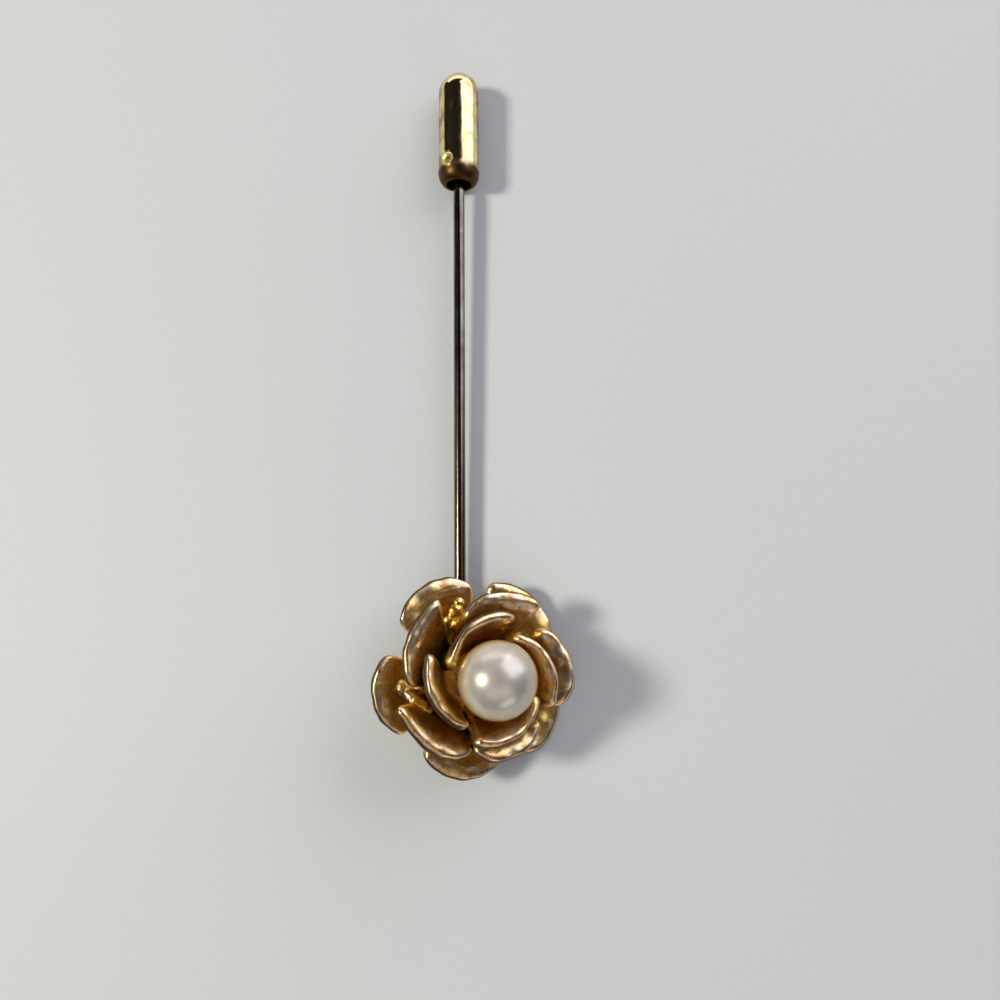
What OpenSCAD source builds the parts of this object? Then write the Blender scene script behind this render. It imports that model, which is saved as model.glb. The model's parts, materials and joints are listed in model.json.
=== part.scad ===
// Rose stick pin: three layers of cast gold petals round a pearl, on a wire with a clutch on its point.
// It lies on a table with the wire away from the viewer, along +Y, and the flower leaning over to +X.
// Every piece is made round the wire's axis, with the flower's own axis along +Z, and then laid down.

/* [Flower] */
// reach of the outer petals from the flower's axis
outer_reach = 9.1; // [7.5:0.1:11]
// height of the outer petals' rims above the wire
outer_rise = 2.5; // [2.3:0.1:3.6]
// reach of the middle petals from the flower's axis
middle_reach = 7.8; // [6.5:0.1:9]
// height of the middle petals' rims above the wire
middle_rise = 6.3; // [5:0.1:7]
// reach of the inner petals from the flower's axis
inner_reach = 5.5; // [4.8:0.1:6.2]
// height of the inner petals' rims above the wire
inner_rise = 8.3; // [7.5:0.1:9]
// thickness of the cast petals
petal_t = 1; // [0.7:0.05:1.1]
// thickness of the flat plate that joins a layer's petals
plate_t = 0.45; // [0.3:0.05:0.6]
// gap between pieces that are fitted together
gap = 0.05; // [0.02:0.01:0.08]
// lean of the flower to one side, about the wire, as it lies
lean = 22; // [0:1:28]

/* [Pearl] */
// diameter of the pearl
pearl_d = 6.8; // [6:0.1:7]
// height of the pearl's middle above the wire
pearl_rise = 9.3; // [8.8:0.1:10.5]
// depth of the hole drilled up into the pearl
drill_depth = 3; // [2:0.1:4]

/* [Stem] */
// diameter of the pin's wire
wire_d = 1.1; // [0.9:0.05:1.3]
// length of the wire from the flower's axis to its point
wire_l = 56.5; // [45:0.5:70]
// diameter of the shank that the clutch grips
shank_d = 1; // [0.8:0.05:1.1]
// length of the shank and its point
shank_l = 9; // [7:0.5:11]
// length of the sharp point
point_l = 2.6; // [1.5:0.1:4]
// diameter of the post that carries the petals and the pearl
post_d = 1.2; // [1:0.05:1.5]
// diameter of the round pad on the flower's back
pad_d = 6; // [4:0.1:7]
// thickness of the pad
pad_t = 0.5; // [0.4:0.05:0.8]
// diameter of the thick soldered root of the wire under the pad
root_d = 2.4; // [1.8:0.1:3]
// length of the root
root_l = 5; // [3:0.5:7]
// diameter of the wire where it leaves the root, thickened by solder
neck_d = 1.3; // [1.1:0.05:1.6]
// distance from the flower's axis to where the solder on the wire has run out
neck_l = 10; // [9:0.5:14]

/* [Clutch] */
// outer diameter of the clutch
clutch_d = 4.1; // [3.6:0.1:4.2]
// length of the clutch
clutch_l = 11.9; // [10:0.1:14]
// diameter of the collar that flares out round the clutch's mouth
collar_d = 4.3; // [4.3:0.1:4.8]
// length of the collar
collar_l = 1.9; // [1.4:0.1:3]
// radius of the rounded edge of the collar
mouth_edge = 0.5; // [0.3:0.05:0.6]
// diameter of the open mouth
mouth_d = 3.1; // [2.4:0.1:3.2]
// depth of the open mouth
mouth_depth = 1.4; // [1:0.1:2]
// clearance between the shank and the bore that grips it
grip_clearance = 0.05; // [0.02:0.01:0.08]
// depth of the bore, from the mouth
bore_depth = 9.4; // [8:0.1:10]
// diameter of the round punch mark in the clutch's side
dimple_d = 1.2; // [0.8:0.1:1.6]
// depth of the punch mark
dimple_depth = 0.2; // [0.1:0.05:0.3]
// distance of the punch mark from the mouth
dimple_l = 2; // [2:0.1:5]
// direction the punch mark faces, in degrees from straight up toward the left
dimple_turn = 40; // [0:1:60]

/* [Hidden] */
$fn = 64;

petal_gold = [0.72, 0.58, 0.34];
clutch_gold = [0.85, 0.72, 0.36];
stem_steel = [0.42, 0.37, 0.33];
pearl_cream = [0.93, 0.9, 0.84];

wire_r = wire_d / 2;
shank_r = shank_d / 2;
post_r = post_d / 2;
root_r = root_d / 2;
neck_r = max(neck_d, wire_d + gap) / 2;
clutch_r = clutch_d / 2;
collar_r = collar_d / 2;
pearl_r = pearl_d / 2;
pad_r = pad_d / 2;
hole_r = post_r + gap;

// radius of the blunted tip of the point
point_r = 0.06;
// how deep the wire is sunk into the pad
pad_sink = 0.1;
// room left above the post in the pearl's hole
post_room = 0.2;

// the pad sits on the wire, and the plates of the three layers are stacked on the pad
pad_top = wire_r - pad_sink + pad_t;
outer_plate = pad_top + gap + plate_t / 2;
middle_plate = outer_plate + plate_t + gap;
inner_plate = middle_plate + plate_t + gap;
post_top = pearl_rise - pearl_r + drill_depth - post_room;

// where the shank begins, just outside the clutch's mouth, and where the clutch sits
step_l = 0.7;
mouth_room = 0.4;
shank_y = wire_l - shank_l;
mouth_y = shank_y + step_l + mouth_room;
clutch_seat_y = mouth_y + mouth_edge;

// laid down, the pin touches the table with the root's near end and the clutch's collar
pitch = atan((collar_r - root_r) / (clutch_seat_y + root_l / 2));
rest_z = root_r * cos(pitch) + root_l / 2 * sin(pitch);

// columns of the petal tables. A petal's clockwise end is its outer one, as the blades of a pinwheel
TURN = 0;     // direction of the petal's middle, in degrees from +X
HALF = 1;     // half its width, in degrees
REACH = 2;    // its reach, as a share of its layer's
PINWHEEL = 3; // how much further its clockwise end reaches, and its other end less, as a share
FLARE = 4;    // how much further still the very end of its clockwise side flares out, as a share
ROUND_CW = 5; // how much of its length the rounding of its clockwise corner takes
ROUND_CCW = 6;

outer_rows = [
    [ 50, 28, 1.07, 0.02, 0.00, 0.40, 0.22],
    [116, 28, 1.05, 0.02, 0.00, 0.44, 0.34],
    [190, 27, 1.01, 0.02, 0.00, 0.42, 0.38],
    [266, 32, 0.96, 0.02, 0.00, 0.36, 0.40],
    [334, 28, 1.03, 0.02, 0.00, 0.40, 0.40],
];

middle_rows = [
    [ 10, 29, 1.07, 0.04, 0.00, 0.36, 0.30],
    [ 80, 30, 1.00, 0.12, 0.06, 0.18, 0.36],
    [154, 31, 1.02, 0.05, 0.08, 0.16, 0.30],
    [227, 32, 1.00, 0.08, 0.12, 0.28, 0.34],
    [292, 33, 0.92, 0.00, 0.00, 0.32, 0.26],
];

inner_rows = [
    [ 19, 42, 1.02, 0.17, 0.06, 0.32, 0.26],
    [115, 48, 0.95, 0.20, 0.08, 0.28, 0.26],
    [199, 42, 1.04, 0.17, 0.06, 0.32, 0.26],
    [297, 44, 0.95, 0.10, 0.08, 0.24, 0.20],
];

// columns of the layer table. A petal's section leaves the plate flat, climbs and rolls over into its lip
ROWS = 0;
PLATE = 1;     // height of the middle of the layer's plate
PLATE_EDGE = 2; // radius of the plate, where the petals part, as a share of the layer's reach
LAYER_REACH = 3;
LAYER_RISE = 4;
LIP = 5;       // width of the lip that rolls outwards, as a share of the layer's reach
BELLY = 6;     // how far out the section stays low, as a share of the way to the lip
TIGHTEN = 7;   // how much narrower the lip is at a petal's inner end, as a share
ROLL = 8;      // how far above the rim the lip is aimed before it rolls down to it, as a share of the lip

outer_layer = [outer_rows, outer_plate, 0.4, outer_reach, outer_rise, 0.21, 0.45, 0.1, 0.45];
middle_layer = [middle_rows, middle_plate, 0.385, middle_reach, middle_rise, 0.28, 0.45, 0.3, 0.5];
inner_layer = [inner_rows, inner_plate, 0.435, inner_reach, inner_rise, 0.255, 0.4, 0.7, 0.45];

// how far the section climbs over its belly, as a share of the way up
belly_climb = 0.05;
// how square the corners of a petal's outline are
squareness = 2.5;
// shares of a petal's length by which it has its full thickness and its full width
thick_by = 0.5;
wide_by = 0.35;

// places of the grid lines over a petal: close together near its edges, where its thickness rounds off
across = [-1, -0.984, -0.935, -0.87, -0.6, -0.3, 0, 0.3, 0.6, 0.87, 0.935, 0.984, 1];
along = [0, 0.16, 0.32, 0.48, 0.64, 0.78, 0.92, 0.96, 0.99, 1];
edge_across = 0.13;
edge_along = 0.08;
last_across = len(across) - 1;
last_along = len(along);

function between(low, high, x) = min(1, max(0, (x - low) / (high - low)));

function bezier(a, b, c, d, t) =
    pow(1 - t, 3) * a + 3 * pow(1 - t, 2) * t * b + 3 * (1 - t) * t * t * c + t * t * t * d;

function bezier_slope(a, b, c, d, t) =
    3 * pow(1 - t, 2) * (b - a) + 6 * (1 - t) * t * (c - b) + 3 * t * t * (d - c);

// a petal's outline: the share of its length that is left at u, from -1 to 1 across it
function outline(row, u) =
    let (rounding = u > 0 ? row[ROUND_CW] : row[ROUND_CCW])
    1 - rounding * (1 - pow(max(0, 1 - pow(abs(u), squareness)), 1 / squareness));

// how far a petal reaches at u, the width of its lip there, and its plate's radius
function reach_at(layer, row, u) =
    layer[LAYER_REACH] * row[REACH] * (1 + row[PINWHEEL] * u + row[FLARE] * pow(max(0, u), 3));

function lip_at(layer, u) = layer[LAYER_REACH] * layer[LIP] * (1 + layer[TIGHTEN] * (u - 1) / 2);

function plate_edge(layer) = layer[LAYER_REACH] * layer[PLATE_EDGE];

// thickness near an edge, as a quarter circle, from how far in it is as a share of the rounding's width
function roundness(x) = sqrt(1 - pow(1 - between(0, 1, x), 2));

// a point of a petal's upper face (side 1) or lower face (side -1)
function petal_point(layer, row, u, w, side) =
    let (
        reach = reach_at(layer, row, u),
        lip = lip_at(layer, u),
        start = plate_edge(layer),
        low = layer[PLATE],
        high = layer[LAYER_RISE],
        t = w * outline(row, u),
        r_stops = [start, start + layer[BELLY] * (reach - lip - start), reach - lip, reach],
        h_stops = [low, low + belly_climb * (high - low), high + layer[ROLL] * lip, high],
        r = bezier(r_stops[0], r_stops[1], r_stops[2], r_stops[3], t),
        h = bezier(h_stops[0], h_stops[1], h_stops[2], h_stops[3], t),
        dr = bezier_slope(r_stops[0], r_stops[1], r_stops[2], r_stops[3], t),
        dh = bezier_slope(h_stops[0], h_stops[1], h_stops[2], h_stops[3], t),
        thick = plate_t + (petal_t - plate_t) * between(0, thick_by, w),
        edge = roundness((1 - abs(u)) / edge_across) * roundness((1 - w) / edge_along),
        off = side * edge * thick / 2 / norm([dr, dh]),
        step = 180 / len(layer[ROWS]),
        half = step + (row[HALF] - step) * between(0, wide_by, w),
        a = row[TURN] - u * half
    )
    [(r - off * dh) * cos(a), (r - off * dh) * sin(a), h + off * dr];

// a point of the flat plate, at the post's hole or at its outer edge, where the petals part evenly
function plate_point(layer, k, u, r, side) =
    let (
        count = len(layer[ROWS]),
        row = layer[ROWS][k],
        next = layer[ROWS][(k + 1) % count][TURN] + (k == count - 1 ? 360 : 0),
        prior = layer[ROWS][(k + count - 1) % count][TURN] - (k == 0 ? 360 : 0),
        a = u > 0 ? row[TURN] - u * (row[TURN] - prior) / 2 : row[TURN] - u * (next - row[TURN]) / 2
    )
    [r * cos(a), r * sin(a), layer[PLATE] + side * plate_t / 2];

// every point of a layer: by petal, then by grid line across, along, and the two faces
function layer_points(layer) = [
    for (k = [0 : len(layer[ROWS]) - 1], i = [0 : last_across], j = [0 : last_along], side = [1, -1])
        j == 0 ? plate_point(layer, k, across[i], hole_r, side)
            : j == 1 ? plate_point(layer, k, across[i], plate_edge(layer), side)
                : petal_point(layer, layer[ROWS][k], across[i], along[j - 1], side)
];

// number of a point. Neighbours share the plate's points, and the two faces meet along a petal's edge
function point_at(count, k, i, j, side) =
    let (
        on_plate = j < 2,
        shared = on_plate && i == 0,
        kk = shared ? (k + 1) % count : k,
        ii = shared ? last_across : i,
        on_edge = !on_plate && (i == 0 || i == last_across || j == last_along),
        ss = on_edge ? 0 : side
    )
    ((kk * (last_across + 1) + ii) * (last_along + 1) + j) * 2 + ss;

// two triangles for each cell of the grid, on each face
function layer_faces(count) = [
    for (
        k = [0 : count - 1],
        i = [0 : last_across - 1],
        j = [0 : last_along - 1],
        side = [0, 1],
        half = [0, 1]
    )
        let (
            a = point_at(count, k, i, j, side),
            b = point_at(count, k, i + 1, j, side),
            c = point_at(count, k, i + 1, j + 1, side),
            d = point_at(count, k, i, j + 1, side),
            left = half == 0 ? [a, d, b] : [b, d, c],
            right = half == 0 ? [a, c, b] : [a, d, c],
            face = i < last_across / 2 ? left : right,
            turned = side == 0 ? face : [face[2], face[1], face[0]]
        )
        if (face[0] != face[1] && face[1] != face[2] && face[2] != face[0]) turned
];

// the wall of the post's hole, and the small wall at the foot of each slit between two petals
function layer_walls(count) = [
    for (k = [0 : count - 1])
        each concat(
            [
                for (i = [0 : last_across - 1], half = [0, 1])
                    let (
                        a = point_at(count, k, i, 0, 0),
                        b = point_at(count, k, i + 1, 0, 0),
                        c = point_at(count, k, i + 1, 0, 1),
                        d = point_at(count, k, i, 0, 1)
                    )
                    half == 0 ? [a, b, c] : [a, c, d]
            ],
            [
                let (
                    top = point_at(count, k, 0, 1, 0),
                    bottom = point_at(count, k, 0, 1, 1),
                    edge = point_at(count, k, 0, 2, 0)
                )
                [top, bottom, edge],
                let (
                    top = point_at(count, k, last_across, 1, 0),
                    bottom = point_at(count, k, last_across, 1, 1),
                    edge = point_at(count, k, last_across, 2, 0)
                )
                [top, edge, bottom]
            ]
        )
];

// a point as it lies, before the whole pin is centred on the origin
function laid(p) =
    let (
        x = p[0] * cos(lean) + p[2] * sin(lean),
        z = p[2] * cos(lean) - p[0] * sin(lean)
    )
    [x, p[1] * cos(pitch) - z * sin(pitch), rest_z + p[1] * sin(pitch) + z * cos(pitch)];

// the flower's petals set the box on three sides, and the clutch's round end on the fourth
rim_points = [
    for (layer = [outer_layer, middle_layer, inner_layer], p = layer_points(layer)) laid(p)
];
clutch_end_y = (mouth_y + clutch_l - clutch_r) * cos(pitch) + clutch_r;
middle_x = (min([for (p = rim_points) p[0]]) + max([for (p = rim_points) p[0]])) / 2;
middle_y = (min([for (p = rim_points) p[1]]) + clutch_end_y) / 2;

// lays a piece down. The stem and the clutch are round the wire, so they don't lean
module lay_down(leaning = 0) {
    translate([-middle_x, -middle_y, rest_z])
        rotate([pitch, 0, 0])
            rotate([0, leaning, 0])
                children();
}

// a cylinder along the wire's axis, from one place to another
module along_wire(from, to, r1, r2) {
    translate([0, from, 0])
        rotate([-90, 0, 0])
            cylinder(h = to - from, r1 = r1, r2 = r2);
}

module petal_layer(layer) {
    count = len(layer[ROWS]);
    faces = concat(layer_faces(count), layer_walls(count));
    polyhedron(points = layer_points(layer), faces = faces, convexity = 8);
}

module outer_petals() {
    color(petal_gold)
        lay_down(lean)
            petal_layer(outer_layer);
}

module middle_petals() {
    color(petal_gold)
        lay_down(lean)
            petal_layer(middle_layer);
}

module inner_petals() {
    color(petal_gold)
        lay_down(lean)
            petal_layer(inner_layer);
}

module pearl() {
    color(pearl_cream)
        lay_down(lean)
            difference() {
                translate([0, 0, pearl_rise])
                    sphere(r = pearl_r);
                translate([0, 0, pearl_rise - pearl_r - 1])
                    cylinder(h = drill_depth + 1, r = hole_r);
            }
}

module pin_stem() {
    color(stem_steel)
        lay_down(lean) {
            translate([0, 0, pad_top - pad_t])
                cylinder(h = pad_t, r = pad_r);
            cylinder(h = post_top, r = post_r);
            intersection() {
                along_wire(-root_l / 2, root_l / 2, root_r, root_r);
                translate([-root_r, -root_l / 2, -root_r])
                    cube([root_d, root_l, root_r + pad_top - pad_t / 2]);
            }
            along_wire(-root_l / 2, shank_y, wire_r, wire_r);
            along_wire(root_l / 2, neck_l, neck_r, wire_r);
            along_wire(shank_y, shank_y + step_l, wire_r, shank_r);
            along_wire(shank_y + step_l, wire_l - point_l, shank_r, shank_r);
            along_wire(wire_l - point_l, wire_l, shank_r, point_r);
        }
}

// half of the clutch's section: x is the radius and y runs from its mouth to its round end
module clutch_section() {
    difference() {
        union() {
            translate([0, mouth_edge])
                square([clutch_r, clutch_l - clutch_r - mouth_edge]);
            intersection() {
                translate([0, clutch_l - clutch_r])
                    circle(r = clutch_r);
                translate([0, clutch_l - clutch_r])
                    square(clutch_r);
            }
            polygon([
                [0, mouth_edge],
                [collar_r, mouth_edge],
                [clutch_r, collar_l],
                [0, collar_l],
            ]);
            square([collar_r - mouth_edge, mouth_edge]);
            intersection() {
                translate([collar_r - mouth_edge, mouth_edge])
                    circle(r = mouth_edge);
                translate([collar_r - mouth_edge, 0])
                    square(mouth_edge);
            }
        }
        translate([0, -1])
            square([mouth_d / 2, mouth_depth + 1]);
        square([shank_r + grip_clearance, bore_depth]);
    }
}

module clutch() {
    dimple_r = (dimple_d * dimple_d / 4 + dimple_depth * dimple_depth) / (2 * dimple_depth);
    color(clutch_gold)
        lay_down()
            difference() {
                translate([0, mouth_y, 0])
                    rotate([-90, 0, 0])
                        rotate_extrude()
                            clutch_section();
                rotate([0, -dimple_turn, 0])
                    translate([0, mouth_y + dimple_l, clutch_r + dimple_r - dimple_depth])
                        sphere(r = dimple_r);
            }
}

outer_petals();
middle_petals();
inner_petals();
pearl();
pin_stem();
clutch();
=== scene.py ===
# %% [markdown]
# # A rose stick pin
# The pin is a dress ornament: a small rose of cast, gold-plated petals round an imitation pearl, soldered on
# a steel wire whose sharp point wears a bullet-shaped clutch. It lies on a pale table, seen from above the
# rose. The frame gives every piece its place, so this lesson starts by loading it and measuring it.

# %% Load the frame
import json
import math
import random

import bmesh
import bpy
from mathutils import Matrix, Vector, noise
from mathutils.bvhtree import BVHTree
from mathutils.kdtree import KDTree


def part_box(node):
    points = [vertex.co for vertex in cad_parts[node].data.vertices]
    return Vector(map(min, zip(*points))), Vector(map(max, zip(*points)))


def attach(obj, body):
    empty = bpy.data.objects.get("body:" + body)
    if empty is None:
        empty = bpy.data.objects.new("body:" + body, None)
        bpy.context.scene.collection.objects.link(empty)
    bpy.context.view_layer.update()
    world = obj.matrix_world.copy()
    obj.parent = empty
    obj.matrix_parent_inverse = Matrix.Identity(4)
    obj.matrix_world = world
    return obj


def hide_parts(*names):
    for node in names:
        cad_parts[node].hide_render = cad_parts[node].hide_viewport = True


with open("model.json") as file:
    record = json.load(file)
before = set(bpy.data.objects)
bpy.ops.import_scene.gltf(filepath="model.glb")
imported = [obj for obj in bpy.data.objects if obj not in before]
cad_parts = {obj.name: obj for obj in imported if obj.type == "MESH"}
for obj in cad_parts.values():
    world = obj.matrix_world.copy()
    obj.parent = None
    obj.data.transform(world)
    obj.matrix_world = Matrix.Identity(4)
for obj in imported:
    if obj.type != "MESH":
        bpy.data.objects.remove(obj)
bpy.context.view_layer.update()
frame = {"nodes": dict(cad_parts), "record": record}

# the frame is in metres, and sizes are named in millimetres, except those of the lamps
mm = 0.001


# %% [markdown]
# The wire's axis is the pin's own ruler: the record keeps a point on it and its direction, as the place where
# the pin goes through cloth. Each size along the pin is measured from there. The flower stands across it.

# %% Find the wire's axis
wire_mount = next(m for m in frame["record"]["mounts"] if m["name"] == "wire")
wire_point = Vector(wire_mount["pos_m"])
wire_axis = Vector(wire_mount["axis"]).normalized()
wire_r = wire_mount["dims"]["r_mm"]


def along_wire(node):
    """How far a node reaches along the wire's axis, in millimetres from the mount's point."""
    places = [(v.co - wire_point).dot(wire_axis) / mm for v in frame["nodes"][node].data.vertices]
    return min(places), max(places)


clutch_from, clutch_to = along_wire("clutch")
stem_from, stem_to = along_wire("pin_stem")
print("clutch from", round(clutch_from, 2), "to", round(clutch_to, 2))
print("stem from", round(stem_from, 2), "to", round(stem_to, 2))

# %% [markdown]
# The rose leans to one side, because its broad back petals and the clutch are what the pin lies on. Its own
# axis starts on the wire, at a distance before the mount's point. Two functions go between the world and the
# rose's own directions.

# %% Find the rose's axis
flower_lean = math.radians(22)
flower_back = 28.75
flower_centre = wire_point - wire_axis * flower_back * mm
flower_up = (Matrix.Rotation(flower_lean, 3, wire_axis) @ Vector((0, 0, 1))).normalized()
flower_side = wire_axis.cross(flower_up).normalized()
print("rose's axis:", [round(v, 3) for v in flower_up])


def in_flower(point):
    """Distance from the rose's axis, direction round it in radians and height over the wire, in mm."""
    away = (point - flower_centre) / mm
    x, y = away.dot(flower_side), away.dot(wire_axis)
    return math.hypot(x, y), math.atan2(y, x), away.dot(flower_up)


def outwards(turn):
    """The direction away from the rose's axis, at a direction round it in radians."""
    return flower_side * math.cos(turn) + wire_axis * math.sin(turn)


# %% [markdown]
# Colours are picked as hex values, as a paint chart gives them, and Blender's shaders want them linear. One
# function turns the one into the other, and one function adds a shader node with its settings and links.

# %% Colours and shader nodes

# where a Mix node of colours has its two colours and its result
mix_a, mix_b, mixed = 6, 7, 2


def colour(hex_code, alpha=1.0):
    """An sRGB hex colour as the linear colour that shaders use."""
    channels = [int(hex_code[i:i + 2], 16) / 255 for i in (1, 3, 5)]
    linear = [c / 12.92 if c <= 0.04045 else ((c + 0.055) / 1.055) ** 2.4 for c in channels]
    return (*linear, alpha)


def add(tree, kind, links=None, **settings):
    """Adds a node. A setting is a property, or inputs by name or number. links maps inputs to outputs."""
    made = tree.nodes.new(kind)
    for name, value in settings.items():
        if name == "inputs":
            for key, given in value.items():
                made.inputs[key].default_value = given
        else:
            setattr(made, name, value)
    for key, output in (links or {}).items():
        tree.links.new(output, made.inputs[key])
    return made


def new_material(name):
    """A new material, with its node tree, its shader and the place on the piece that its patterns read."""
    material = bpy.data.materials.new(name)
    material.use_nodes = True
    tree = material.node_tree
    shader = tree.nodes["Principled BSDF"]
    place = add(tree, "ShaderNodeTexCoord").outputs["Object"]
    return material, tree, shader, place


def per_mm(size):
    """The scale of a noise pattern in metres whose grains are about size millimetres."""
    return 1 / (size * mm)


# %% [markdown]
# Operators act on what is selected, and loading leaves the CAD pieces selected, so each step starts by
# choosing one piece alone. A finished piece keeps its object at the origin, with its place in its mesh. The
# patterns and forms below read or move the mesh point by point, so a few small functions do that.

# %% Choosing, marking, moving and finishing pieces


def only(piece):
    """Selects one piece alone and makes it active."""
    bpy.ops.object.select_all(action="DESELECT")
    piece.select_set(True)
    bpy.context.view_layer.objects.active = piece


def apply_modifier(piece, kind, **settings):
    """Adds a modifier with its settings and applies it."""
    only(piece)
    made = piece.modifiers.new(kind.lower(), kind)
    for name, value in settings.items():
        setattr(made, name, value)
    bpy.ops.object.modifier_apply(modifier=made.name)


def share(value):
    """A value held between 0 and 1."""
    return min(1, max(0, value))


def bell(t):
    """1 at the middle, and 0 from one step away on both sides."""
    return 0.5 + 0.5 * math.cos(math.pi * min(1, abs(t)))


def keep(piece, name, values):
    """Keeps a value for each point of a piece as an attribute, which materials can read."""
    piece.data.attributes.new(name, "FLOAT", "POINT").data.foreach_set("value", values)


def move_points(piece, places):
    """Moves the points of a piece to new places."""
    piece.data.vertices.foreach_set("co", [c for place in places for c in place])
    piece.data.update()


def wear(piece, material, body, slot, *nodes):
    """Gives a finished piece its material and its body, and hides the CAD nodes it stands for; slot is not
    used.
    """
    piece.data.materials.clear()
    piece.data.materials.append(material)
    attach(piece, body)
    if nodes:
        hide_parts(*nodes)
    print(piece.name, "has", sum(len(p.vertices) - 2 for p in piece.data.polygons), "triangles")


# %% [markdown]
# ## Camera
# The photograph was taken by hand from straight above the rose, close by, so the far end of the wire runs
# away from the lens. A camera 97 mm over the table with a 37 mm lens, tipped ten degrees along the wire, sees
# the same.

# %% Camera
pearl_low, pearl_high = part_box("pearl")
pearl_centre = (pearl_low + pearl_high) / 2
lens = bpy.data.cameras.new("camera")
lens.sensor_width = 36
lens.lens = 36.72
lens.clip_start = 5 * mm
camera = bpy.data.objects.new("camera", lens)
camera.location = (2.33 * mm, -26.03 * mm, 97 * mm)
camera.rotation_euler = (math.radians(10.06), 0, math.radians(-0.5))
bpy.context.scene.collection.objects.link(camera)
bpy.context.scene.camera = camera
print("camera", round(camera.location.z / mm), "mm over the table")

# %% [markdown]
# ## Petals
# Each layer of petals is one casting: molten metal was spun into a rubber mould, so its faces are a little
# wavy and its edges are fat and round. The CAD solid has the right form in coarse facets. Its copy is merged,
# turned back into four-sided faces and subdivided, which rounds it and gives it points enough for the skin.

# %% Copy a layer of petals
rim_name = "rim"
rim_from, rim_range = 0.3, 0.5
layer_nodes = {"outer_layer": "outer_petals", "middle_layer": "middle_petals", "inner_layer": "inner_petals"}


def mark_rims(piece):
    """Keeps how sharply the surface turns outwards at each point: about 1 along edges, 0 on faces."""
    shape = bmesh.new()
    shape.from_mesh(piece.data)
    turns = [max((e.calc_face_angle_signed(0) for e in v.link_edges), default=0) for v in shape.verts]
    shape.free()
    keep(piece, rim_name, [share((turn - rim_from) / rim_range) for turn in turns])


def cast_layer(node, name):
    """A smooth copy of a petal layer, with how near each point is to a petal's edge kept beside it."""
    piece = bpy.data.objects.new(name, frame["nodes"][node].data.copy())
    bpy.context.scene.collection.objects.link(piece)
    only(piece)
    bpy.ops.object.mode_set(mode="EDIT")
    bpy.ops.mesh.select_all(action="SELECT")
    bpy.ops.mesh.customdata_custom_splitnormals_clear()
    bpy.ops.mesh.remove_doubles(threshold=0.001 * mm)
    bpy.ops.mesh.tris_convert_to_quads(face_threshold=math.radians(60), shape_threshold=math.radians(90))
    bpy.ops.object.mode_set(mode="OBJECT")
    mark_rims(piece)
    apply_modifier(piece, "SUBSURF", levels=2, render_levels=2)
    return piece


layers = {name: cast_layer(node, name) for name, node in layer_nodes.items()}
for piece in layers.values():
    print(piece.name, len(piece.data.vertices), "points")

# %% [markdown]
# The edge of every petal is a fat rolled lip nearly two millimetres wide, with a shallow crease behind it,
# and it catches the light. The lip could be a bevel, but it follows a curved edge on a curved face. So each
# point's distance from the nearest edge is measured, and the skin is swollen or sunk by that distance.

# %% Rolled lips
edge_name = "from_edge"
lip_from = 0.6
lip_swells = 0.05, 0.09, 0.11
lip_widths = 1.9, 1.7, 1.5
lip_crease = 0.05
crease_place, crease_width = 1.1, 0.35
uneven_mean, uneven_range, uneven_size = 0.7, 0.8, 2.8


def roll_lips(piece, swell, width):
    """Swells the skin along the petals' edges, sinks a crease behind the lip and keeps the distances."""
    rims = [kept.value for kept in piece.data.attributes[rim_name].data]
    edges = [v.co.copy() for v, rim in zip(piece.data.vertices, rims) if rim > lip_from]
    finder = KDTree(len(edges))
    for i, place in enumerate(edges):
        finder.insert(place, i)
    finder.balance()
    away = [finder.find(v.co)[2] / mm for v in piece.data.vertices]
    keep(piece, edge_name, away)
    places = []
    for v, d in zip(piece.data.vertices, away):
        uneven = uneven_mean + uneven_range * noise.noise(v.co / (uneven_size * mm))
        crease = lip_crease * bell((d - crease_place * width) / (crease_width * width))
        push = uneven * (swell * bell(d / width) - crease)
        places.append(v.co + v.normal * push * mm)
    move_points(piece, places)
    return len(edges)


for piece, swell, width in zip(layers.values(), lip_swells, lip_widths):
    print(piece.name, "has", roll_lips(piece, swell, width), "points on its edges")

# %% [markdown]
# A cast face is never flat: the rubber mould gave a little under the metal, which leaves broad waves, and its
# own skin leaves a fine ripple. A displace modifier could do it, but three soft noises of different sizes,
# each moved on for its own layer, keep the petals from looking alike.

# %% Cast skin
layer_waves = 0.14, 0.2, 0.15
seed_step = 31
broad_size, middle_size, fine_size = 2.4, 1.1, 0.45
middle_wave, fine_wave = 0.1, 0.03


def cast_skin(piece, seed, waves):
    """Moves each point along its normal: broad shallow waves, and the finer ripple of a rubber mould."""
    places = []
    for v in piece.data.vertices:
        place = v.co / mm + Vector((seed, 0, 0))
        broad = noise.noise(place / broad_size)
        middle = noise.noise(place / middle_size + Vector((0, 9, 0)))
        fine = noise.noise(place / fine_size + Vector((0, 0, 5)))
        places.append(v.co + v.normal * (waves * broad + middle_wave * middle + fine_wave * fine) * mm)
    move_points(piece, places)
    only(piece)
    bpy.ops.object.shade_smooth()


for i, (piece, waves) in enumerate(zip(layers.values(), layer_waves)):
    cast_skin(piece, i * seed_step, waves)
    print(piece.name, "has waves of", waves, "mm")

# %% [markdown]
# Where two petals almost meet, the casting kept a web of metal between them, lumpy because no file reached
# it, and one petal has a second small curl inside its corner. Each is a row of balls, joined and remeshed
# into one ridge, because a lump of metal has no edges to model. A ball's four numbers are its distance from
# the rose's axis, its direction round it, its height over the wire and its radius.

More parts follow.
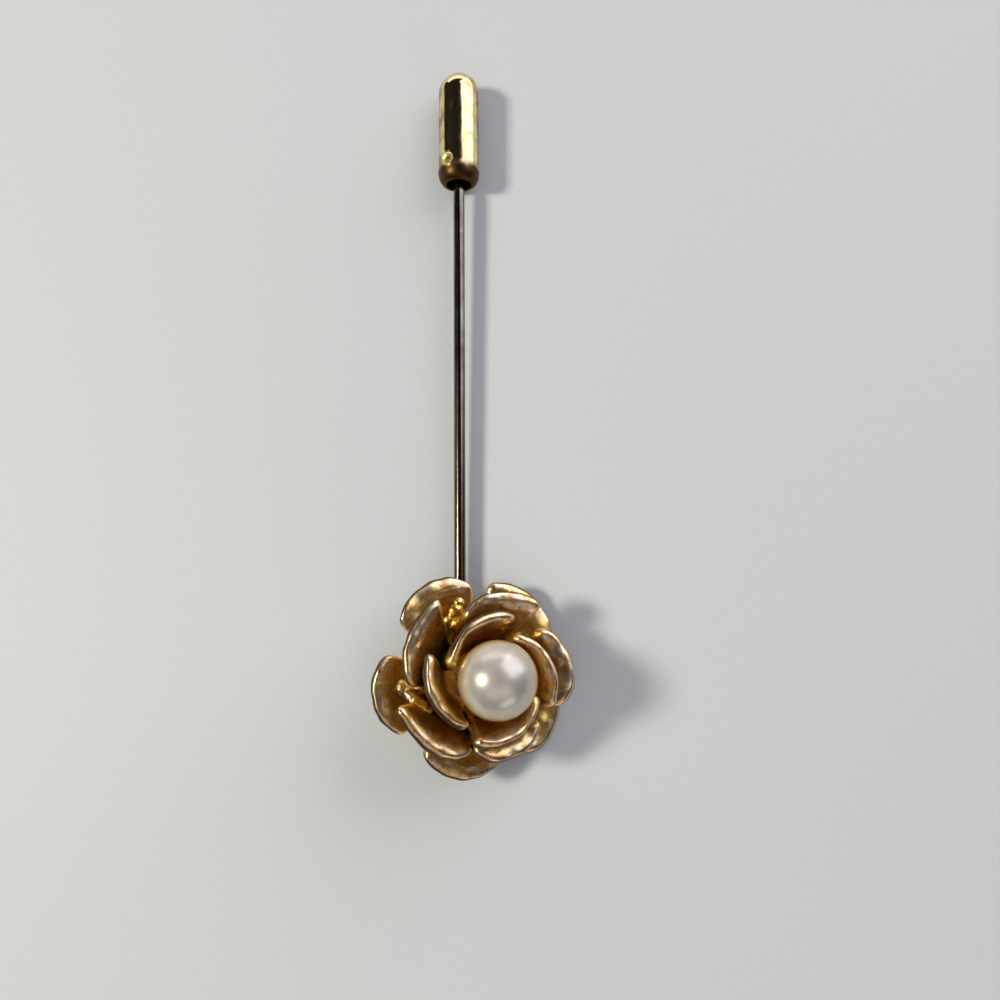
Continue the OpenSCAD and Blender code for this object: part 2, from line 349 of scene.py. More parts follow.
# %% Webs and a curl
web_rows = {
    "upper_web": [(6.9, 100, 3.0, 0.6), (6.3, 104, 2.9, 0.75), (5.6, 100, 2.8, 0.7), (5.0, 105, 2.9, 0.75),
                  (4.3, 102, 3.1, 0.7), (3.7, 109, 3.2, 0.7), (5.7, 112, 2.7, 0.6)],
    "left_web": [(6.5, 186, 2.9, 0.85), (6.0, 188, 3.1, 0.9), (5.5, 187, 3.3, 0.85), (5.1, 188, 3.7, 0.75)],
    "corner_curl": [(6.6, 190, 4.7, 0.55), (6.4, 193, 4.9, 0.6), (6.2, 196, 5.0, 0.62), (5.9, 200, 5.0, 0.62),
                    (5.6, 204, 5.0, 0.58), (5.3, 208, 4.9, 0.5)],
}
lump_height, lump_size = 0.07, 0.6
grain_height, grain_size = 0.03, 0.25


def lumpy_ridge(name, row):
    """A ridge of balls, each at a distance, a direction and a height with a radius, run together."""
    bpy.ops.object.select_all(action="DESELECT")
    balls = []
    for r, degrees, height, radius in row:
        place = flower_centre + (outwards(math.radians(degrees)) * r + flower_up * height) * mm
        bpy.ops.mesh.primitive_ico_sphere_add(subdivisions=3, radius=radius * mm, location=place)
        balls.append(bpy.context.object)
    for ball in balls:
        ball.select_set(True)
    bpy.ops.object.join()
    ridge = bpy.context.object
    ridge.name = name
    bpy.ops.object.transform_apply(location=True, rotation=True, scale=True)
    apply_modifier(ridge, "REMESH", mode="VOXEL", voxel_size=0.07 * mm)
    apply_modifier(ridge, "SMOOTH", factor=0.6, iterations=20)
    for v in ridge.data.vertices:
        lump = lump_height * noise.noise(v.co / (lump_size * mm))
        grain = grain_height * noise.noise(v.co / (grain_size * mm))
        v.co += v.normal * (lump + grain) * mm
    only(ridge)
    bpy.ops.object.shade_smooth()
    return ridge


webs = {name: lumpy_ridge(name, row) for name, row in web_rows.items()}
for web in webs.values():
    print(web.name, len(web.data.vertices), "points")

# %% [markdown]
# The mould was filed by hand, round and round each petal, so its fine lines run round the rose. A UV map
# could follow them, but each point can simply keep where it is round the rose, for a pattern that follows
# these lines, and how much it faces outwards and to the rose's back.

# %% Directions round the rose
flow_name = "flow"
back_name = "backward"
middle_r = 5
out_share, back_share = 0.8, 0.6


def keep_flow(piece):
    """Keeps each point's distance out, way round and height in mm, and how much it faces out and back."""
    flow_values, back_values = [], []
    for v in piece.data.vertices:
        r, turn, height = in_flower(v.co)
        flow_values += [r, turn * middle_r, height]
        back_values.append(v.normal.dot(outwards(turn) * out_share - flower_up * back_share))
    piece.data.attributes.new(flow_name, "FLOAT_VECTOR", "POINT").data.foreach_set("vector", flow_values)
    keep(piece, back_name, back_values)
    return sum(1 for value in back_values if value > 0) / len(back_values)


for piece in [*layers.values(), *webs.values()]:
    print(piece.name, "faces backward in a share of", round(keep_flow(piece), 2))

# %% [markdown]
# Dirt and tarnish gather where a cloth can't reach, deep between the petals, and painted shade darkens the
# same places, while the half-hidden slopes get a painted yellow bounce light. An ambient occlusion node could
# find these places, but it looks again for every pixel of every render. So each point looks out once in two
# dozen directions, and the share of them that is free is its openness.

# %% Openness
open_name = "openness"
outlook_count = 24
outlook_reach = 5
off_the_skin = 0.05
random.seed(7)
outlooks = []
while len(outlooks) < outlook_count:
    way = Vector([random.uniform(-1, 1) for _ in range(3)])
    if 0.2 < way.length < 1:
        outlooks.append(way.normalized())


def tree_of(pieces):
    """One search tree over the faces of several pieces."""
    points, faces = [], []
    for piece in pieces:
        start = len(points)
        points += [v.co.copy() for v in piece.data.vertices]
        faces += [[start + i for i in p.vertices] for p in piece.data.polygons]
    return BVHTree.FromPolygons(points, faces)


def keep_openness(piece, around):
    """Keeps the share of outlooks that nothing near blocks, at each point."""
    values = []
    for v in piece.data.vertices:
        eye = v.co + v.normal * off_the_skin * mm
        ahead = [w if w.dot(v.normal) > 0 else -w for w in outlooks]
        free = sum(1 for w in ahead if around.ray_cast(eye, w, outlook_reach * mm)[0] is None)
        values.append(free / len(ahead))
    keep(piece, open_name, values)
    return sum(values) / len(values)


around = tree_of([*layers.values(), frame["nodes"]["pearl"]])
for piece in [*layers.values(), *webs.values()]:
    print(piece.name, "mean openness", round(keep_openness(piece, around), 2))

# %% [markdown]
# The finish is antiqued gold plate on cast brass. The plate is a warm yellow, worn to a paler, silvery gold
# where fingers and cloth rub it, which on the lips is also a painted highlight, and rubbed thin to a pinkish
# bronze in patches. The maker darkened the hollows with a brown patina, and painted shade deepens them,
# darkens the petals' backs and draws a dark line along their outer brinks. The half-hidden slopes get a
# painted yellow bounce light. Fine scratches and pits from the mould roughen it. The webs between the petals
# were never filed, and the upper one's brighter yellow is painted bounce light.

# %% Antiqued gold plate


def plate_colour(tree, place, edge, filed, smears, hidden, colours):
    """The plate's colour: bronze where thin, pale with a painted highlight where rubbed, painted bounce light
    where hidden.
    """
    # patches of thin plate, about 2 mm across, where the bronze under it shows
    patches = add(tree, "ShaderNodeTexNoise", {"Vector": place},
                  inputs={"Scale": per_mm(2.4), "Detail": 5.0, "Roughness": 0.62}).outputs["Fac"]
    thin = add(tree, "ShaderNodeMapRange", {"Value": patches},
               inputs={"From Min": 0.4, "From Max": 0.62, "To Max": 0.75}).outputs[0]
    body = add(tree, "ShaderNodeMix", {"Factor": thin}, data_type="RGBA",
               inputs={mix_a: colour(colours["plate"]), mix_b: colour(colours["bronze"])}).outputs[mixed]

    # a little patina lies in the filed lines
    lines = add(tree, "ShaderNodeMapRange", {"Value": filed},
                inputs={"From Min": 0.54, "From Max": 0.68, "To Max": 0.5}).outputs[0]
    body = add(tree, "ShaderNodeMix", {"Factor": lines, mix_a: body}, data_type="RGBA",
               inputs={mix_b: colour(colours["patina"])}).outputs[mixed]

    # the smears are worn pale, most of all on the lips, where the pale colour is also a painted highlight
    lip = add(tree, "ShaderNodeMapRange", {"Value": edge},
              inputs={"From Min": 1.3, "From Max": 0.3}).outputs[0]
    rubbed_and_highlight = add(tree, "ShaderNodeMath", {0: lip, 2: smears}, operation="MULTIPLY_ADD",
                 inputs={1: 0.22}).outputs[0]
    rubbed_and_highlight = add(tree, "ShaderNodeMapRange", {"Value": rubbed_and_highlight},
                 inputs={"From Min": 0.6, "From Max": 0.78, "To Max": 0.8}).outputs[0]
    body = add(tree, "ShaderNodeMix", {"Factor": rubbed_and_highlight, mix_a: body}, data_type="RGBA",
               inputs={mix_b: colour(colours["worn"])}).outputs[mixed]

    # the half-hidden slopes get a painted yellow bounce light, the colour of light thrown back by the gold
    # round them
    painted_bounce = add(tree, "ShaderNodeMath", {0: hidden}, operation="MULTIPLY", inputs={1: 0.85}).outputs[0]
    return add(tree, "ShaderNodeMix", {"Factor": painted_bounce, mix_a: body}, data_type="RGBA",
               inputs={mix_b: colour(colours["glow"])}).outputs[mixed]


def patina_and_painted_shade(tree, place, edge, free, back, smears, pits):
    """How much patina and painted shade cover the plate, wherever any of their four kinds is."""
    # patina and painted shade in the deepest hollows, and painted shade on the backs of the petals
    deep_patina_and_shade = add(tree, "ShaderNodeMath", {0: smears, 1: free}, operation="SUBTRACT").outputs[0]
    deep_patina_and_shade = add(tree, "ShaderNodeMapRange", {"Value": deep_patina_and_shade},
               inputs={"From Min": 0.2, "From Max": 0.42, "To Max": 0.95}).outputs[0]
    painted_underside_shade = add(tree, "ShaderNodeMapRange", {"Value": back},
                 inputs={"From Min": 0.14, "From Max": 0.45, "To Max": 0.8}).outputs[0]

    # in the pits, where they lie in patches
    pitted = add(tree, "ShaderNodeTexNoise", {"Vector": place}, inputs={"Scale": per_mm(3.4)}).outputs["Fac"]
    pitted = add(tree, "ShaderNodeMapRange", {"Value": pitted},
                 inputs={"From Min": 0.45, "From Max": 0.6}).outputs[0]
    spots = add(tree, "ShaderNodeMapRange", {"Value": pits},
                inputs={"From Min": 0.56, "From Max": 0.72, "To Max": 0.6}).outputs[0]
    spots = add(tree, "ShaderNodeMath", {0: spots, 1: pitted}, operation="MULTIPLY").outputs[0]

    # painted shade in a thin dark line on the outside of the petals' brinks
    brink = add(tree, "ShaderNodeMapRange", {"Value": edge},
                inputs={"From Min": 0.42, "From Max": 0.12}).outputs[0]
    outer = add(tree, "ShaderNodeMapRange", {"Value": back},
                inputs={"From Min": -0.1, "From Max": 0.2, "To Max": 0.9}).outputs[0]
    cover = add(tree, "ShaderNodeMath", {0: brink, 1: outer}, operation="MULTIPLY").outputs[0]
    for kind in (deep_patina_and_shade, painted_underside_shade, spots):
        cover = add(tree, "ShaderNodeMath", {0: cover, 1: kind}, operation="MAXIMUM").outputs[0]
    return cover


def cast_grain(tree, place, filed, pits, hidden):
    """The bump of the filed lines, the pits, stray scratches and the sandy grain of the mould."""
    # stray scratches run across the filed lines, and the hidden slopes keep the grain
    across = add(tree, "ShaderNodeMapping", {"Vector": place},
                 inputs={"Rotation": (0.3, 0.5, 0.9), "Scale": (1.0, 0.07, 1.0)}).outputs[0]
    strays = add(tree, "ShaderNodeTexNoise", {"Vector": across},
                 inputs={"Scale": per_mm(0.16), "Detail": 3.0}).outputs["Fac"]
    sand = add(tree, "ShaderNodeMath", {0: pits, 1: hidden}, operation="MULTIPLY").outputs[0]
    height = filed
    for kind, depth in ((pits, 0.35), (sand, 0.9), (strays, 0.35)):
        height = add(tree, "ShaderNodeMath", {0: kind, 2: height}, operation="MULTIPLY_ADD",
                     inputs={1: depth}).outputs[0]
    bump = add(tree, "ShaderNodeBump", {"Height": height}, inputs={"Strength": 0.6, "Distance": 0.035 * mm})
    return bump.outputs[0]


def antiqued_gold(name, **colours):
    """Worn gold plate over cast brass, with patina and painted shade in its hollows and painted shade on its
    backs.
    """
    material, tree, shader, place = new_material(name)
    edge = add(tree, "ShaderNodeAttribute", attribute_name=edge_name).outputs["Fac"]
    free = add(tree, "ShaderNodeAttribute", attribute_name=open_name).outputs["Fac"]
    back = add(tree, "ShaderNodeAttribute", attribute_name=back_name).outputs["Fac"]
    flow = add(tree, "ShaderNodeAttribute", attribute_name=flow_name).outputs["Vector"]

    # filed lines run round the rose, a third of a millimetre apart
    way_round = add(tree, "ShaderNodeMapping", {"Vector": flow},
                    inputs={"Scale": (3.4, 0.4, 3.4)}).outputs[0]
    filed = add(tree, "ShaderNodeTexNoise", {"Vector": way_round},
                inputs={"Scale": 1.0, "Detail": 3.0}).outputs["Fac"]

    # smears are about 1 mm across, pits a quarter of that, and hidden is how little a point sees
    smears = add(tree, "ShaderNodeTexNoise", {"Vector": place},
                 inputs={"Scale": per_mm(0.9), "Detail": 6.0, "Roughness": 0.7,
                         "Distortion": 0.6}).outputs["Fac"]
    pits = add(tree, "ShaderNodeTexNoise", {"Vector": place}, inputs={"Scale": per_mm(0.26)}).outputs["Fac"]
    hidden = add(tree, "ShaderNodeMapRange", {"Value": free},
                 inputs={"From Min": 0.78, "From Max": 0.42}).outputs[0]

    body = plate_colour(tree, place, edge, filed, smears, hidden, colours)
    patina_and_shade = patina_and_painted_shade(tree, place, edge, free, back, smears, pits)
    body = add(tree, "ShaderNodeMix", {"Factor": patina_and_shade, mix_a: body}, data_type="RGBA",
               inputs={mix_b: colour(colours["patina"])}).outputs[mixed]
    tree.links.new(body, shader.inputs["Base Color"])
    tree.links.new(cast_grain(tree, place, filed, pits, hidden), shader.inputs["Normal"])
    shader.inputs["Metallic"].default_value = 1.0

    # clean plate is smooth, and smears, hidden slopes, patina and painted shade are duller
    rough = add(tree, "ShaderNodeMapRange", {"Value": patina_and_shade},
                inputs={"To Min": 0.22, "To Max": 0.5}).outputs[0]
    for kind, dullness in ((smears, 0.14), (hidden, 0.12)):
        rough = add(tree, "ShaderNodeMath", {0: kind, 2: rough}, operation="MULTIPLY_ADD",
                    inputs={1: dullness}).outputs[0]
    tree.links.new(rough, shader.inputs["Roughness"])
    return material


# each gold below gets a painted yellow bounce light on its hidden slopes, and its pale wear colour is also a
# painted highlight
petal_gold = antiqued_gold("antiqued_gold_plate", plate="#FFD06E", bronze="#EFA47C", worn="#FFE8CC",
                           glow="#FFC64E", patina="#331A0C")
for name, node in layer_nodes.items():
    wear(layers[name], petal_gold, "pin", "petal_gold", node)
# the upper web's brighter, more saturated yellow is painted bounce light
unfiled_bounce_gold = antiqued_gold("unfiled_gold_plate", plate="#F4C860", bronze="#E8A850", worn="#F8E6A8",
                             glow="#F6BC3C", patina="#5A3208")
for name, web in webs.items():
    wear(web, unfiled_bounce_gold if name == "upper_web" else petal_gold, "pin", "petal_gold")

# %% [markdown]
# ## Pearl
# The pearl is a glass bead dipped many times in pearl lacquer, drilled half through for the post. It isn't
# quite round. A sphere is added with fine faces, the middle of its underside is pushed up for the drill hole,
# and a broad noise pulls it a hundredth of a millimetre out of true.

# %% Pearl
pearl_r = (pearl_high.x - pearl_low.x) / 2 / mm
drill_r, drill_depth = 0.65, 3.0
out_of_true, swell_size = 0.012, 2.5
bpy.ops.object.select_all(action="DESELECT")
bpy.ops.mesh.primitive_uv_sphere_add(segments=128, ring_count=64, radius=pearl_r * mm, location=(0, 0, 0))
pearl = bpy.context.object
pearl.name = "pearl_bead"
bpy.ops.object.mode_set(mode="EDIT")
bpy.ops.mesh.select_all(action="DESELECT")
shape = bmesh.from_edit_mesh(pearl.data)
for face in shape.faces:
    middle = face.calc_center_median()
    face.select = middle.z < 0 and math.hypot(middle.x, middle.y) < drill_r * mm
bmesh.update_edit_mesh(pearl.data)
bpy.ops.mesh.extrude_region_move(TRANSFORM_OT_translate={"value": (0, 0, drill_depth * mm)})
bpy.ops.object.mode_set(mode="OBJECT")
for v in pearl.data.vertices:
    v.co += v.normal * out_of_true * mm * noise.noise(v.co / (swell_size * mm))
bpy.ops.object.shade_smooth_by_angle(angle=math.radians(40))
pearl.rotation_euler = (0, flower_lean, 0)
pearl.location = pearl_centre
bpy.ops.object.transform_apply(location=True, rotation=True, scale=True)
print("pearl", round(2 * pearl_r, 2), "mm across")

# %% [markdown]
# Pearl lacquer holds tiny plates of fish scale that lie flat in many coats, so it shines from a little below
# its skin as metal does and yet looks milky. Subsurface light could give the milk, but the bead is opaque
# glass, so a partly metallic cream body lies under a clear coat, and a painted reflection of the gold petals
# yellows its edge.

# %% Pearl lacquer


def pearl_lacquer():
    """Fish-scale lacquer over glass: a cream body that shines below its skin, under a clear coat."""
    material, tree, shader, place = new_material("dipped_pearl_lacquer")
    clouds = add(tree, "ShaderNodeTexNoise", {"Vector": place},
                 inputs={"Scale": per_mm(2.6), "Detail": 3.0, "Roughness": 0.5}).outputs["Fac"]
    cloud = add(tree, "ShaderNodeMapRange", {"Value": clouds},
                inputs={"From Min": 0.35, "From Max": 0.65}).outputs[0]
    body = add(tree, "ShaderNodeMix", {"Factor": cloud}, data_type="RGBA",
               inputs={mix_a: colour("#D0CDC2"), mix_b: colour("#C6B4A8")}).outputs[mixed]

    # towards its edge the pearl is painted yellower, a painted reflection of the gold petals round it
    edge = add(tree, "ShaderNodeLayerWeight", inputs={"Blend": 0.42}).outputs["Facing"]
    edge = add(tree, "ShaderNodeMapRange", {"Value": edge},
               inputs={"From Min": 0.25, "From Max": 0.85, "To Max": 0.95}).outputs[0]
    body = add(tree, "ShaderNodeMix", {"Factor": edge, mix_a: body}, data_type="RGBA",
               inputs={mix_b: colour("#C4A158")}).outputs[mixed]
    tree.links.new(body, shader.inputs["Base Color"])
    shader.inputs["Metallic"].default_value = 0.4
    shader.inputs["Roughness"].default_value = 0.3
    shader.inputs["IOR"].default_value = 1.6
    shader.inputs["Coat Weight"].default_value = 0.8
    shader.inputs["Coat Roughness"].default_value = 0.24
    shader.inputs["Coat IOR"].default_value = 1.53

    # dipping leaves faint ripples about 1 mm apart
    ripple = add(tree, "ShaderNodeTexNoise", {"Vector": place},
                 inputs={"Scale": per_mm(0.9), "Detail": 2.0}).outputs["Fac"]
    bump = add(tree, "ShaderNodeBump", {"Height": ripple}, inputs={"Strength": 0.25, "Distance": 0.02 * mm})
    tree.links.new(bump.outputs[0], shader.inputs["Normal"])
    return material


wear(pearl, pearl_lacquer(), "pin", "pearl", "pearl")

# %% [markdown]
# ## Turned and drawn pieces
# The clutch is a cup drawn from thin brass and its mouth is spun inwards. The wire is drawn steel, ground to
# a shank and a point. Both are round, so each is drawn out from one circle: the ring of edges is
# extruded to the next place along the axis and scaled to the radius there, ring after ring.

# %% Draw out a round piece

# an end that is closed flat starts from a ring this small, in millimetres
tiny_r = 0.02


def draw_out(name, rings, sides=96):
    """A round piece along +Z from (radius, height) rings in millimetres. A radius of 0 ends in a point."""
    bpy.ops.object.select_all(action="DESELECT")
    first_r, first_z = rings[0]
    bpy.ops.mesh.primitive_circle_add(vertices=sides, radius=first_r * mm, fill_type="NOTHING",
                                      location=(0, 0, first_z * mm))
    piece = bpy.context.object
    piece.name = name
    bpy.ops.object.transform_apply(location=True, rotation=True, scale=True)
    bpy.ops.object.mode_set(mode="EDIT")
    bpy.ops.mesh.select_all(action="SELECT")
    bpy.ops.mesh.select_mode(type="EDGE")
    radius, height = first_r, first_z
    for r, z in rings[1:]:
        bpy.ops.mesh.extrude_edges_move(TRANSFORM_OT_translate={"value": (0, 0, (z - height) * mm)})
        if r == 0:
            bpy.ops.mesh.merge(type="CENTER")
            break
        if r != radius:
            growth = r / radius
            bpy.ops.transform.resize(value=(growth, growth, 1), center_override=(0, 0, z * mm))
        radius, height = r, z
    bpy.ops.mesh.select_all(action="SELECT")
    bpy.ops.mesh.normals_make_consistent(inside=False)
    bpy.ops.object.mode_set(mode="OBJECT")
    print(name, "drawn out in", len(rings), "rings")
    return piece


def arc(centre_z, radius, start, end, steps):
    """(radius, height) rings of a dome about the axis. Angles are in degrees, from straight out upwards."""
    turns = [math.radians(start + (end - start) * i / steps) for i in range(steps + 1)]
    return [(radius * math.cos(turn), centre_z + radius * math.sin(turn)) for turn in turns]


def stand_on_wire(piece, start):
    """Lays a piece made along +Z on the wire's axis, with its zero at a place along it in millimetres."""
    only(piece)
    piece.rotation_euler = Vector((0, 0, 1)).rotation_difference(wire_axis).to_euler()
    piece.location = wire_point + wire_axis * (start * mm)
    bpy.ops.object.transform_apply(location=True, rotation=True, scale=True)


# %% [markdown]
# The clutch is made from its bore outwards: the bore that the shank runs in, the open mouth, the brink that
# was spun round, the straight side and the round end. It could be a cylinder and a ball, but one run of rings
# has no seams and gives the polished side points enough for its dents. Sizes are in millimetres.

# %% Clutch
body_r, rim_r = 2.0, 2.06
bore_r, bore_depth = 0.55, 9.4
mouth_r, mouth_depth = 1.25, 1.4
floor_r = 1.0
corner_w, corner_l = 0.06, 0.2
brink_w = 0.08
brink_r = mouth_r + brink_w
round_l, blend_l = 1.4, 1.9
round_steps, blend_steps, side_steps, dome_steps = 16, 8, 60, 30
length = clutch_to - clutch_from
straight = length - body_r - blend_l
rings = [(tiny_r, bore_depth), (bore_r, bore_depth), (bore_r, mouth_depth), (floor_r, mouth_depth)]
rings += [(mouth_r - corner_w, mouth_depth - corner_l / 4), (mouth_r, mouth_depth - corner_l)]
rings += [(mouth_r, brink_w * 1.5), (mouth_r + brink_w / 4, brink_w / 2), (brink_r, 0.0)]
for i in range(1, round_steps + 1):
    turn = math.radians(90 * i / round_steps)
    rings.append((brink_r + (rim_r - brink_r) * math.sin(turn), round_l * (1 - math.cos(turn))))
for i in range(1, blend_steps + 1):
    step = i / blend_steps
    rings.append((body_r + (rim_r - body_r) * bell(step), round_l + (blend_l - round_l) * step))
rings += [(body_r, blend_l + straight * (i + 1) / side_steps) for i in range(side_steps)]
rings += arc(length - body_r, body_r, 2, 88, dome_steps) + [(0, length)]
clutch = draw_out("bullet_clutch", rings)

# %% [markdown]
# A press left a round punch mark near the mouth, which holds the spring inside. The band by the mouth is
# browner, the inside of the mouth is painted dark as shade, and the sides and the underside get half as much
# painted shade, which dulls the table's reflection in them. The mark could be cut out, but a press moves
# metal and takes none away, so the points are pushed in, with a burr round them. Two attributes tell the
# material where the mark and the brown and painted shade are.

# %% Punch mark, dents, brown and painted shade of the clutch
mark_name, brown_and_shade_name = "punch_mark", "mouth_brown"
mark_turn = math.radians(124)
mark_z, mark_r, mark_depth = 2.05, 0.56, 0.13
mark_wall = 2.5
burr_width, burr_height = 0.5, 0.05
highlight_ring_width, floor_highlight_share = 0.4, 0.45
brown_from, brown_fade = 2.3, 1.7
flank_shade_from, flank_shade_share = 0.65, 0.5
past_bore = 0.1
wave_height, wave_size = 0.02, 2.4
dent_height, dent_size = 0.008, 0.9


def dent_clutch(piece):
    """A round punch mark with a raised burr, and slight waves from the drawing press."""
    mark = Vector((body_r * math.cos(mark_turn), -body_r * math.sin(mark_turn), mark_z)) * mm
    marks_and_highlights, browns_and_shades = [], []
    for v in piece.data.vertices:
        # d is the distance from the mark's middle, in its own radii
        d = (v.co - mark).length / mm / mark_r
        # a painted highlight in the fresh yellow runs round the mark's wall, and less of it lies on its floor
        ring = bell((d - 1) / highlight_ring_width)
        marks_and_highlights.append(ring + floor_highlight_share * (d < 1) * (1 - ring))

        # as the piece is made, -Y is the side that will look up
        away = Vector((v.co.x, v.co.y, 0))
        # inside the mouth and bore the colour is all painted shade, the band by the mouth is browner, and the
        # sides and underside get half as much painted shade
        inside = away.length < brink_r * mm and v.co.z < (bore_depth + past_bore) * mm
        brown = share((brown_from - v.co.z / mm) / brown_fade)
        painted_flank_shade = share(1 + v.normal.y / flank_shade_from)
        browns_and_shades.append(1 if inside else max(brown, flank_shade_share * painted_flank_shade))
        if inside:
            continue
        wave = wave_height * noise.noise(v.co / (wave_size * mm))
        push = wave + dent_height * noise.noise(v.co / (dent_size * mm))
        if d < 1:
            push -= mark_depth * min(1, mark_wall * (1 - d * d))
        elif d < 1 + burr_width:
            push += burr_height * math.sin((d - 1) / burr_width * math.pi)
        v.co += away.normalized() * push * mm
    keep(piece, mark_name, marks_and_highlights)
    keep(piece, brown_and_shade_name, browns_and_shades)
    return sum(1 for shine in marks_and_highlights if shine > 0)


print("the punch mark shines on", dent_clutch(clutch), "points")
stand_on_wire(clutch, clutch_from)
only(clutch)
bpy.ops.object.shade_smooth_by_angle(angle=math.radians(50))

# %% [markdown]
# The clutch was polished on a wheel before it was plated, so it mirrors the room, with a haze of wear in
# soft clouds and hairlines that run round it. The bruised metal of the mark is a fresher yellow and grainy,
# with a painted highlight in a ring round its wall, and the mouth and flanks carry painted shade. A painted
# mask could place them, but noise and the two attributes need no picture. The solder on the rose's back
# wears the same plate, dull and brown.

# %% Polished gold plate


def polished_plate(name, plate, shade, fresh_and_highlight, brown):
    """Gold plate on drawn brass: smooth, cloudy, with a painted highlight in the mark, brown and painted
    shade at the mouth.
    """
    material, tree, shader, place = new_material(name)
    mark = add(tree, "ShaderNodeAttribute", attribute_name=mark_name).outputs["Fac"]
    brown_and_shade = add(tree, "ShaderNodeAttribute", attribute_name=brown_and_shade_name).outputs["Fac"]
    haze = add(tree, "ShaderNodeTexNoise", {"Vector": place},
               inputs={"Scale": per_mm(1.5), "Detail": 5.0, "Roughness": 0.6}).outputs["Fac"]
    cloud = add(tree, "ShaderNodeMapRange", {"Value": haze},
                inputs={"From Min": 0.42, "From Max": 0.7, "To Max": 0.8}).outputs[0]
    body = add(tree, "ShaderNodeMix", {"Factor": cloud}, data_type="RGBA",
               inputs={mix_a: colour(plate), mix_b: colour(shade)}).outputs[mixed]

    # the brown and the painted shade creep up from the mouth with a cloudy edge
    brown_and_shade_creep = add(tree, "ShaderNodeMath", {0: brown_and_shade, 1: haze}, operation="ADD").outputs[0]
    brown_and_shade_creep = add(tree, "ShaderNodeMapRange", {"Value": brown_and_shade_creep},
                inputs={"From Min": 0.5, "From Max": 1.1, "To Max": 0.97}).outputs[0]
    body = add(tree, "ShaderNodeMix", {"Factor": brown_and_shade_creep, mix_a: body}, data_type="RGBA",
               inputs={mix_b: colour(brown)}).outputs[mixed]
    # the mark is a fresher yellow, with a painted highlight round its wall
    body = add(tree, "ShaderNodeMix", {"Factor": mark, mix_a: body}, data_type="RGBA",
               inputs={mix_b: colour(fresh_and_highlight)}).outputs[mixed]
    tree.links.new(body, shader.inputs["Base Color"])
    shader.inputs["Metallic"].default_value = 1.0

    # the polish is sharp, duller in the haze, and dullest in the mark and the brown
    rough = add(tree, "ShaderNodeMapRange", {"Value": haze},
                inputs={"To Min": 0.06, "To Max": 0.2}).outputs[0]
    rough = add(tree, "ShaderNodeMath", {0: mark, 2: rough}, operation="MULTIPLY_ADD",
                inputs={1: 0.25}).outputs[0]
    rough = add(tree, "ShaderNodeMath", {0: brown_and_shade_creep, 2: rough}, operation="MULTIPLY_ADD",
                inputs={1: 0.28}).outputs[0]
    tree.links.new(rough, shader.inputs["Roughness"])

    # hairlines a tenth of a millimetre apart, and a grain three times as coarse in the mark alone
    around_it = add(tree, "ShaderNodeMapping", {"Vector": place},
                    inputs={"Scale": (0.1, 1.0, 0.1)}).outputs[0]
    hairs = add(tree, "ShaderNodeTexNoise", {"Vector": around_it},
                inputs={"Scale": per_mm(0.1)}).outputs["Fac"]
    grains = add(tree, "ShaderNodeTexNoise", {"Vector": place}, inputs={"Scale": per_mm(0.3)}).outputs["Fac"]
    grains = add(tree, "ShaderNodeMath", {0: grains, 1: mark}, operation="MULTIPLY").outputs[0]
    height = add(tree, "ShaderNodeMath", {0: grains, 2: hairs}, operation="MULTIPLY_ADD",
                 inputs={1: 8.0}).outputs[0]
    bump = add(tree, "ShaderNodeBump", {"Height": height}, inputs={"Strength": 0.2, "Distance": 0.01 * mm})
    tree.links.new(bump.outputs[0], shader.inputs["Normal"])
    return material


clutch_gold = polished_plate("polished_gold_plate", plate="#EDDAA6", shade="#BE9F62", fresh_and_highlight="#F0D070",
                             brown="#44290F")
wear(clutch, clutch_gold, "clutch", "clutch_gold", "clutch")

# %% [markdown]
# ## Wire, root and pad
# The wire starts inside the soldered root. Solder has run out along it, so it is a little thicker at the neck
# and tapers to its own size. At the other end it is ground down in a short step to the shank that the clutch
# grips, and then to the point. It is drawn out along its axis with zero at the rose, in millimetres.

# %% Wire
root_end, neck_end, solder_t = 2.5, 10.0, 0.1
inside_root = 0.4
shank_l, shank_r, step_l = 9.0, 0.5, 0.7
point_l, tip_r = 2.6, 0.06
neck_steps, wire_steps, point_steps = 6, 24, 6
wire_end = stem_to + flower_back
shank_start = wire_end - shank_l
rings = [(tiny_r, inside_root - root_end), (wire_r, inside_root - root_end)]
rings += [(wire_r, root_end - inside_root - solder_t), (wire_r + solder_t, root_end - inside_root)]
for i in range(neck_steps + 1):
    step = i / neck_steps
    rings.append((wire_r + solder_t - solder_t * step, root_end + (neck_end - root_end) * step))
rings += [(wire_r, neck_end + (shank_start - neck_end) * (i + 1) / wire_steps) for i in range(wire_steps)]
rings += [(shank_r, shank_start + step_l), (shank_r, wire_end - point_l)]
for i in range(1, point_steps):
    step = i / point_steps
    rings.append((shank_r - (shank_r - tip_r) * step, wire_end - point_l * (1 - step)))
rings += [(tip_r, wire_end - tip_r / 2), (tip_r / 2, wire_end), (0, wire_end)]
wire = draw_out("drawn_wire", rings, 32)
stand_on_wire(wire, -flower_back)
bpy.ops.object.shade_smooth_by_angle(angle=math.radians(35))

# %% [markdown]
# The wire is soldered along the back of a small round pad, in a thick root, and the post stands on the pad's
# other side. Fillets of solder could be bevels, but solder flows where it likes, so the three drums are
# joined, remeshed into one skin and smoothed, which leaves soft fillets between them.

# %% Root, pad and post
root_r = 1.2
pad_r, pad_t, pad_top = 3.0, 0.5, 0.95
post_r, post_l, post_middle = 0.6, 8.4, 4.5
drum_edge = 0.12


